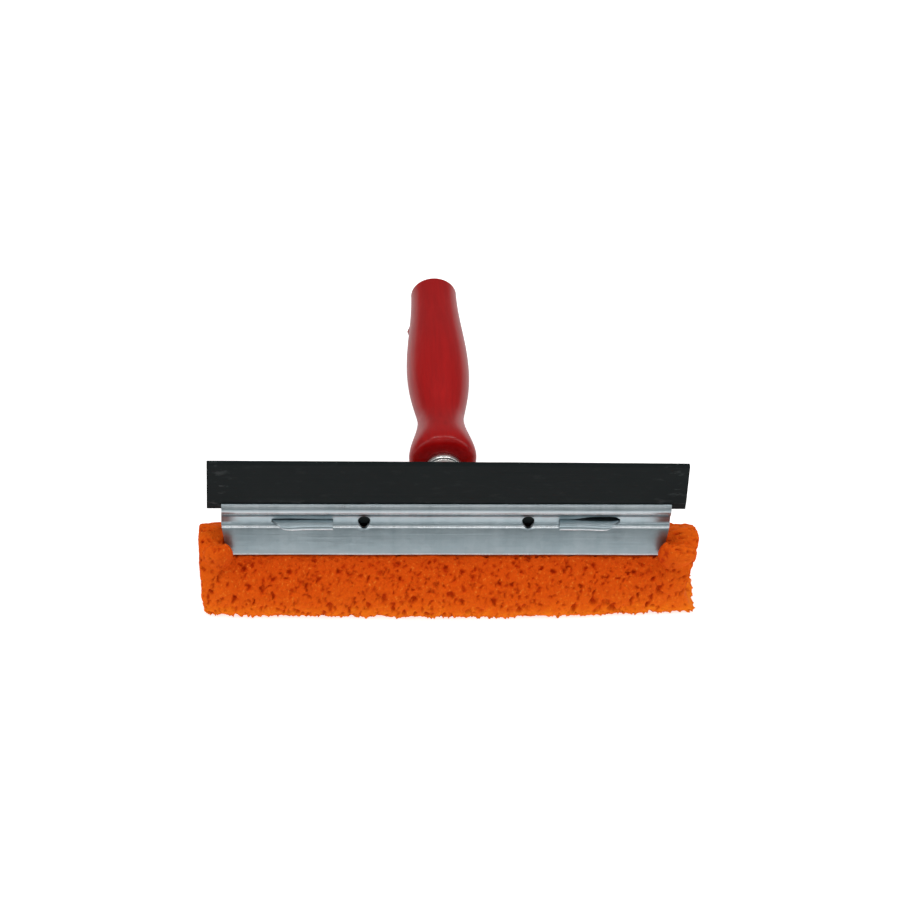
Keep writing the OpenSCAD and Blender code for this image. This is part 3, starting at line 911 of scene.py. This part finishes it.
def make_blade():
    """The moulded rubber: tapered flap, web, the bulb in the lips and the clamped tail.

    The flap's long sides get evenly spaced points, so that they can wave. The tail leaves the
    tongues' slots free.
    """
    middle = [[-ROOT_T / 2, BLADE_FOOT], [-WEB_T / 2, BLADE_FOOT], [-WEB_T / 2, BULB_Z],
              [WEB_T / 2, BULB_Z], [WEB_T / 2, BLADE_FOOT], [ROOT_T / 2, BLADE_FOOT],
              [EDGE_T / 2, BLADE_TOP], [-EDGE_T / 2, BLADE_TOP]]
    corners = round_polygon(middle, 0.00035)
    rise = np.linspace(BLADE_FOOT + 0.0006, BLADE_TOP - 0.0006, 30)[1:-1]
    face = np.interp(rise, [BLADE_FOOT, BLADE_TOP], [ROOT_T / 2, EDGE_T / 2])
    order = np.argmax(corners[:, 1])
    corners = np.roll(corners, -order, axis=0)
    section = []
    for i, corner in enumerate(corners):
        section.append(corner)
        after = corners[(i + 1) % len(corners)]
        if abs(after[1] - corner[1]) > 0.015:
            side = np.sign(corner[0])
            column = np.column_stack([side * face, rise])
            section.extend(column if after[1] > corner[1] else column[::-1])
    stations = np.concatenate([[-BLADE_HALF], np.linspace(-0.0999, 0.0999, 160), [BLADE_HALF]])
    shells = [sweep(section, stations, blade_place)]
    turn = np.linspace(0, 2 * np.pi, 32, endpoint=False)
    bulb = np.column_stack([BULB_R * np.cos(turn), BULB_Z + BULB_R * np.sin(turn)])
    inside = PLATE_HALF - PLATE_SLANT
    shells.append(sweep(bulb, [-inside, inside]))
    slot_in = TONGUE_SPAN / 2 - TONGUE_W / 2 - TAIL_CLEAR
    slot_out = TONGUE_SPAN / 2 + TONGUE_W / 2 + TAIL_CLEAR
    top, half = BULB_Z - 0.0015, TAIL_T / 2
    above, below = YOKE_Z + YOKE_T / 2 + TAIL_CLEAR, YOKE_Z - YOKE_T / 2 - TAIL_CLEAR
    for x0, x1 in ((-inside, -slot_out), (-slot_in, slot_in), (slot_out, inside)):
        shells.append(box((x0, -half, TAIL_FOOT), (x1, half, top)))
    for x0, x1 in ((-slot_out, -slot_in), (slot_in, slot_out)):
        shells.append(box((x0, -half, TAIL_FOOT), (x1, half, below)))
        shells.append(box((x0, -half, above), (x1, half, top)))
    points, faces = join(shells)
    finish_piece("wiping_rubber", points, faces, RUBBER, "rubber_blade")


make_blade()

pin_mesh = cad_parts["tang_pin"].data
pin_mesh.materials.clear()
pin_mesh.materials.append(STEEL)


# Sponge

SPONGE_VOXEL = 0.00055
# Height and half depth in mm, from the wiping face up: between the jaws, and of the free ends
HELD = [(0, 15.2), (1.2, 16.2), (4, 16.8), (9, 16.8), (14, 16.3), (18.5, 15.1), (22, 13.2),
        (24.5, 10.8), (25.8, 8.6), (25.95, 4.8), (29.8, 3.6), (33.1, 2.3), (35.8, 1.3)]
FREE = [(0, 15.2), (1.2, 16.2), (4, 16.8), (9, 16.8), (14, 16.3), (18.5, 15.6), (22, 14.8),
        (26.0, 12.6), (28.6, 10.5), (30.9, 8.0), (32.6, 5.5), (33.7, 3.2), (34.2, 1.2)]
HELD_HALF, SWELL = 0.0945, 0.0026
# Place along x and size of each section of a free end
FREE_STATIONS = ((0.0944, 0.99), (0.0952, 1.0), (0.098, 1.0), (0.1005, 1.0), (0.1017, 0.98),
                 (0.1023, 0.95))
LOBE_X, LOBE_Y, LOBE_FOOT = 0.0948, 0.0112, 0.0234
LOBE_Z_RIGHT, LOBE_Z_LEFT, BACK_LOBE_Z = 0.0312, 0.0306, 0.0238


def smooth_levels(levels):
    """The levels in metres, joined by straight stretches, evenly spaced and softened."""
    return soften(resample(np.array(levels) * MM, count=44), 2)


def level_ring(levels):
    """A closed section of y and z from its levels: up the front and down the back."""
    return np.concatenate([np.column_stack([-levels[:, 1], levels[:, 0]]),
                           np.column_stack([levels[::-1, 1], levels[::-1, 0]])])


def ring_shell(rings, stations):
    """A closed shell through sections of y and z at places along x."""
    rows = [np.column_stack([np.full(len(ring), x), ring]) for ring, x in zip(rings, stations)]
    return np.concatenate(rows), tube_faces(len(rows), len(rows[0]))


CORNER_PRIMES, SEED_PRIME = np.array([73856093, 19349663, 83492791]), 2654435761


def cell_noise(points, size, seed):
    """Distance to the nearest random feature point, in cells, and that point's own random number.

    Each unit cell of the stretched space holds one point, placed by a hash of the cell's corner;
    the nearest of the 27 cells round each query point is kept.
    """
    scaled = points / np.asarray(size)
    base = np.floor(scaled).astype(np.int64)
    nearest = np.full(len(points), 9.0)
    own = np.zeros(len(points))
    for step in np.ndindex(3, 3, 3):
        cell = base + (np.array(step) - 1)
        key = np.bitwise_xor.reduce(cell * CORNER_PRIMES, axis=1) ^ (seed * SEED_PRIME)
        parts = []
        for salt in (1, 2, 3, 4):
            mixed = (key ^ (key >> 13)) * (1274126177 + salt * 668265263)
            mixed = (mixed ^ (mixed >> 16)) & 0xFFFFFF
            parts.append(mixed / 0xFFFFFF)
        feature = cell + np.column_stack(parts[:3])
        distance = np.linalg.norm(scaled - feature, axis=1)
        closer = distance < nearest
        nearest = np.where(closer, distance, nearest)
        own = np.where(closer, parts[3], own)
    return nearest, own


def swollen(levels, swell):
    """The held levels pushed out below the jaws: the strip is fullest in its middle."""
    share = np.interp(levels[:, 0], np.array([0, 9, 14, 18.5, 22, 25]) * MM, [1, 1, 0.8, 0.5, 0.2, 0])
    out = levels.copy()
    out[:, 1] += swell * share
    return out


def lobe(centre, radii):
    """A closed egg, for the swollen corners that lap over the plates' ends."""
    rings, around = 12, 24
    down = np.linspace(0, np.pi, rings + 2)[1:-1]
    turn = np.linspace(0, 2 * np.pi, around, endpoint=False)
    skin = np.stack([np.outer(np.sin(down), np.cos(turn)), np.outer(np.sin(down), np.sin(turn)),
                     np.repeat(np.cos(down)[:, None], around, axis=1)], axis=-1).reshape(-1, 3)
    points = np.concatenate([skin, [[0, 0, 1], [0, 0, -1]]]) * radii + centre
    faces = [face[::-1] for face in grid_faces(rings, around, True).tolist()]
    top, foot, last = rings * around, rings * around + 1, (rings - 1) * around
    for i in range(around):
        j = (i + 1) % around
        faces.append([top, i, j])
        faces.append([foot, last + j, last + i])
    return points, faces


def sponge_base():
    """The strip between the jaws, its free ends and their lobes, fused into one skin."""
    held, free = smooth_levels(HELD), smooth_levels(FREE)
    places = np.linspace(-HELD_HALF, HELD_HALF, 60)
    rings = [level_ring(swollen(held, SWELL * math.cos(math.pi / 2 * x / 0.1025))) for x in places]
    shells = [ring_shell(rings, places)]
    centre = np.array([0.0, 0.02])
    for side in (-1, 1):
        ends = FREE_STATIONS if side > 0 else FREE_STATIONS[::-1]
        rings = [centre + (level_ring(free) - centre) * size for _, size in ends]
        shells.append(ring_shell(rings, [side * x for x, _ in ends]))
        height = LOBE_Z_RIGHT if side > 0 else LOBE_Z_LEFT
        for y, z, size in ((-LOBE_Y, height, (0.0060, 0.0036, height - LOBE_FOOT)),
                           (LOBE_Y, BACK_LOBE_Z, (0.0052, 0.0034, 0.0040))):
            shells.append(lobe(np.array([side * LOBE_X, y, z]), np.array(size)))
    points, faces = join(shells)
    base = mesh_object("sponge_base", points, faces, smooth=False)
    remesh = base.modifiers.new("fuse", "REMESH")
    remesh.mode = "VOXEL"
    remesh.voxel_size = SPONGE_VOXEL
    smooth = base.modifiers.new("soften", "SMOOTH")
    smooth.factor = 0.5
    smooth.iterations = 10
    fused = bpy.data.meshes.new_from_object(base.evaluated_get(bpy.context.evaluated_depsgraph_get()))
    bpy.data.objects.remove(base)
    return fused


# How far each end is drawn out at heights above the wiping face, all in mm
FLARE_HEIGHTS = (0, 4, 10, 16, 24, 30, 34, 37, 40)
FLARE_RIGHT = (5.4, 2.0, -0.6, -0.2, 1.6, 4.2, 5.2, 5.2, 5.2)
FLARE_LEFT = (-1.4, -1.0, -0.3, 0.4, 0.9, 1.1, 1.1, 0.9, 0.6)
SLANT_TOP, SLANT_DEPTH = 0.0384, 0.0112
# How far an end's top is lowered beside the plates and at its outer corner, in metres
DROP_RIGHT, DROP_LEFT = (0.0022, 0.0012), (0.0014, 0.0004)
# The share by which the foot is deeper at the left end and less deep at the right one
FOOT_OUT, FOOT_IN = 0.050, 0.055


def flare(points):
    """Draws the ends out as the cut strip's own ends spread, and lowers their tops by the plates.

    The lowering is most beside the plates and less at the outer corners. The skin beside the
    plates' slanted ends leans in to meet them. The foot stands a little further out at the left
    end than at the right one.
    """
    x, y, z = points.T
    right = np.interp(z, np.array(FLARE_HEIGHTS) * MM, np.array(FLARE_RIGHT) * MM)
    left = np.interp(z, np.array(FLARE_HEIGHTS) * MM, np.array(FLARE_LEFT) * MM)
    near = soft_step(np.abs(x), 0.0935, 0.1010)
    out = points.copy()
    out[:, 0] += np.where(x > 0, right, -left) * near
    top = soft_step(z, 0.021, 0.033) * soft_step(np.abs(x), 0.0920, 0.0938)
    outward = soft_step(np.abs(x), 0.0940, 0.1000)
    lower = np.where(x > 0, mix(*DROP_RIGHT, outward), mix(*DROP_LEFT, outward))
    slant = PLATE_SLANT * np.clip((SLANT_TOP - z) / SLANT_DEPTH, 0, 1) * soft_step(z, 0.0255, 0.0275)
    inward = soft_step(np.abs(x), 0.0925, 0.0938) * (1 - soft_step(np.abs(x), 0.0945, 0.0985))
    out[:, 0] -= np.sign(x) * slant * inward * (1 - soft_step(np.abs(y), 0.0065, 0.0080))
    out[:, 2] -= top * lower
    foot = 1 - soft_step(z, 0.010, 0.022)
    out[:, 1] *= 1 + foot * (FOOT_OUT * soft_step(-x, 0.03, 0.09) - FOOT_IN * soft_step(x, 0.05, 0.10))
    return out


# Cell size in metres of each kind of pore, and of the tufts, along x, y and z
LARGE_PORE, MEDIUM_PORE = (0.0033, 0.0033, 0.0074), (0.0019, 0.0019, 0.0050)
SMALL_PORE, TUFT = (0.0011, 0.0011, 0.0019), (0.0013, 0.0013, 0.0030)
LARGE_DEPTH, MEDIUM_DEPTH, SMALL_DEPTH = 0.0016, 0.0009, 0.00012
LUMP_RISE, NAP_RISE, TUFT_RISE, FOOT_WEAR = 0.00026, 0.00009, 0.0014, 0.0004


def make_sponge():
    """Pushes the fused skin in at each pore and out a little between them.

    A pore is a cell of stretched random points: its floor lies where the distance to the cell's
    point is under the pore's own radius. Three sizes of pore are laid over each other, their
    outlines bent by smooth noise; near the wiping face the skin is torn into short tufts.
    """
    mesh = sponge_base()
    points = vectors(mesh.vertices, "co")
    normals = vectors(mesh.vertex_normals, "vector")
    bend = np.stack([waves(points, 0.0045, seed, 12) for seed in (41, 42, 43)], axis=-1)
    fine = np.stack([waves(points, 0.0016, seed, 12) for seed in (44, 45, 46)], axis=-1)
    bent = points + 0.00050 * bend + 0.00022 * fine
    near, own = cell_noise(bent, LARGE_PORE, 11)
    large = np.where(own < 0.55, 1 - soft_step(near, 0.12, 0.32 + 0.35 * own), 0.0)
    near, own = cell_noise(bent, MEDIUM_PORE, 23)
    medium = np.where(own < 0.72, 1 - soft_step(near, 0.12, 0.50), 0.0)
    near, own = cell_noise(bent, SMALL_PORE, 37)
    small = 1 - soft_step(near, 0.10, 0.52)
    lumps = waves(points, 0.009, 51, 14)
    nap = waves(points, 0.0019, 52, 24)
    depth = LARGE_DEPTH * large + MEDIUM_DEPTH * medium + SMALL_DEPTH * small
    held_in = soft_step(points[:, 2], 0.0255, 0.0275) * (np.abs(points[:, 0]) < 0.0938)
    torn = 1 - soft_step(points[:, 2], 0.0005, 0.0035)
    near, own = cell_noise(points, TUFT, 61)
    tuft = torn * (1 - soft_step(near, 0.15, 0.60)) * (0.3 + 0.7 * own)
    swell = LUMP_RISE * lumps + NAP_RISE * nap + TUFT_RISE * tuft - FOOT_WEAR * torn
    moved = points - normals * (depth * (1 - 0.85 * held_in) - swell * (1 - held_in))[:, None]
    moved = flare(moved)
    moved[:, 2] = np.maximum(moved[:, 2], 0.0)
    mesh.vertices.foreach_set("co", moved.reshape(-1))
    # the pore depth also sets the painted shade in the pores
    pore = np.clip(0.90 * large + 0.75 * medium + 0.12 * small, 0, 1)
    # where painted light brightens the foot's edge
    edge = 1 - soft_step(points[:, 2] - 0.0012 * bend[:, 0], 0.001, 0.008)
    for name, values in (("pore", pore), ("edge", edge)):
        mesh.attributes.new(name, "FLOAT", "POINT").data.foreach_set("value", values)
    mesh.materials.clear()
    mesh.materials.append(SPONGE)
    mesh.polygons.foreach_set("use_smooth", [True] * len(mesh.polygons))
    mesh.name = "sponge_strip"
    mesh.update()
    piece = bpy.data.objects.new("sponge_strip", mesh)
    bpy.context.scene.collection.objects.link(piece)
    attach(piece, "root")
    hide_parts("sponge")


make_sponge()


# Floor and light


FLOOR_WHITE, FLOOR_CARD = (0.80, 0.80, 0.80), (0.42, 0.42, 0.42)
CAMERA_GLOW, MATT_GLOW, FAR_GLOW, STRIP_GLOW = 0.64, 0.28, 0.55, 1.3
SKY_LOW, SKY_HIGH = 0.17, 0.44


def make_floor():
    """A wide pale floor with the tool's own soft shadow, and a glow that differs by the kind of ray.

    The camera sees it near white, and matt surfaces get a little of its light. Polished ones see
    a pale stretch in front of the tool, a narrow bright strip near its foot and, further out, a
    darker card. None of it lights the background.
    """
    reach = 3.0
    corners = [(-reach, -reach, 0), (reach, -reach, 0), (reach, reach, 0), (-reach, reach, 0)]
    material, tree = new_material("pale_floor")
    path = add(tree, "ShaderNodeLightPath").outputs
    ahead = coordinate(tree, "Y")
    card = product(tree, path["Is Glossy Ray"], ramp(tree, ahead, -0.16, -0.26))
    diffuse = add(tree, "ShaderNodeBsdfDiffuse", Color=tinted(tree, FLOOR_WHITE, (card, FLOOR_CARD)))
    far = product(tree, ramp(tree, ahead, -0.035, -0.075, 0.15, 1.0), ramp(tree, ahead, -0.30, -0.12))
    strip = product(tree, ramp(tree, ahead, -0.020, -0.024), ramp(tree, ahead, -0.048, -0.033))
    shown = blend(tree, (far, FAR_GLOW), (strip, STRIP_GLOW))
    glossy = product(tree, path["Is Glossy Ray"], shown)
    seen = blend(tree, (glossy, 1.0), (path["Is Diffuse Ray"], MATT_GLOW),
                 (path["Is Camera Ray"], CAMERA_GLOW))
    glow = add(tree, "ShaderNodeEmission", Color=(1.0, 1.0, 1.0, 1.0), Strength=seen)
    both = add(tree, "ShaderNodeAddShader")
    feed(tree, both.inputs[0], diffuse.outputs[0])
    feed(tree, both.inputs[1], glow.outputs[0])
    add(tree, "ShaderNodeOutputMaterial", Surface=both.outputs[0])
    floor = mesh_object("floor", corners, [[0, 1, 2, 3]], material, smooth=False)


def make_world():
    """A soft pale sky, brighter overhead; only the camera sees it white."""
    world = bpy.data.worlds.new("studio")
    bpy.context.scene.world = world
    world.use_nodes = True
    tree = world.node_tree
    tree.nodes.clear()
    path = add(tree, "ShaderNodeLightPath").outputs
    sky = ramp(tree, coordinate(tree, "Z", "Generated"), 0.0, 0.9, SKY_LOW, SKY_HIGH)
    strength = math_node(tree, "MAXIMUM", sky, path["Is Camera Ray"])
    background = add(tree, "ShaderNodeBackground", Color=(1.0, 1.0, 1.0, 1.0), Strength=strength)
    add(tree, "ShaderNodeOutputWorld", Surface=background.outputs[0])


def soft_lamp(name, place, aim, size, power):
    """A rectangular soft box at a place, facing a point."""
    data = bpy.data.lights.new(name, "AREA")
    data.shape = "RECTANGLE"
    data.size, data.size_y = size
    data.energy = power
    lamp = bpy.data.objects.new(name, data)
    lamp.location = place
    lamp.rotation_mode = "QUATERNION"
    lamp.rotation_quaternion = (Vector(aim) - Vector(place)).to_track_quat("-Z", "Y")
    bpy.context.scene.collection.objects.link(lamp)


make_floor()
make_world()
soft_lamp("top_left_box", (-0.36, 0.10, 1.10), (0.0, 0.02, 0.03), (0.22, 0.6), 2.3)
soft_lamp("top_right_box", (0.36, 0.10, 1.10), (0.0, 0.02, 0.03), (0.22, 0.6), 2.3)
soft_lamp("left_box", (-0.9, -0.25, 0.55), (0.0, 0.05, 0.04), (0.35, 0.9), 1.8)
soft_lamp("right_box", (0.9, -0.15, 0.60), (0.0, 0.05, 0.04), (0.35, 0.9), 2.0)
soft_lamp("front_left_lamp", (-0.24, -0.62, 0.98), (0.0, 0.0, 0.03), (0.10, 0.12), 0.30)
soft_lamp("front_right_lamp", (0.24, -0.62, 0.98), (0.0, 0.0, 0.03), (0.10, 0.12), 0.30)
soft_lamp("front_box", (0.0, -0.85, 0.46), (0.0, 0.0, 0.02), (1.1, 0.22), 1.6)

bpy.context.scene.view_settings.view_transform = "Standard"
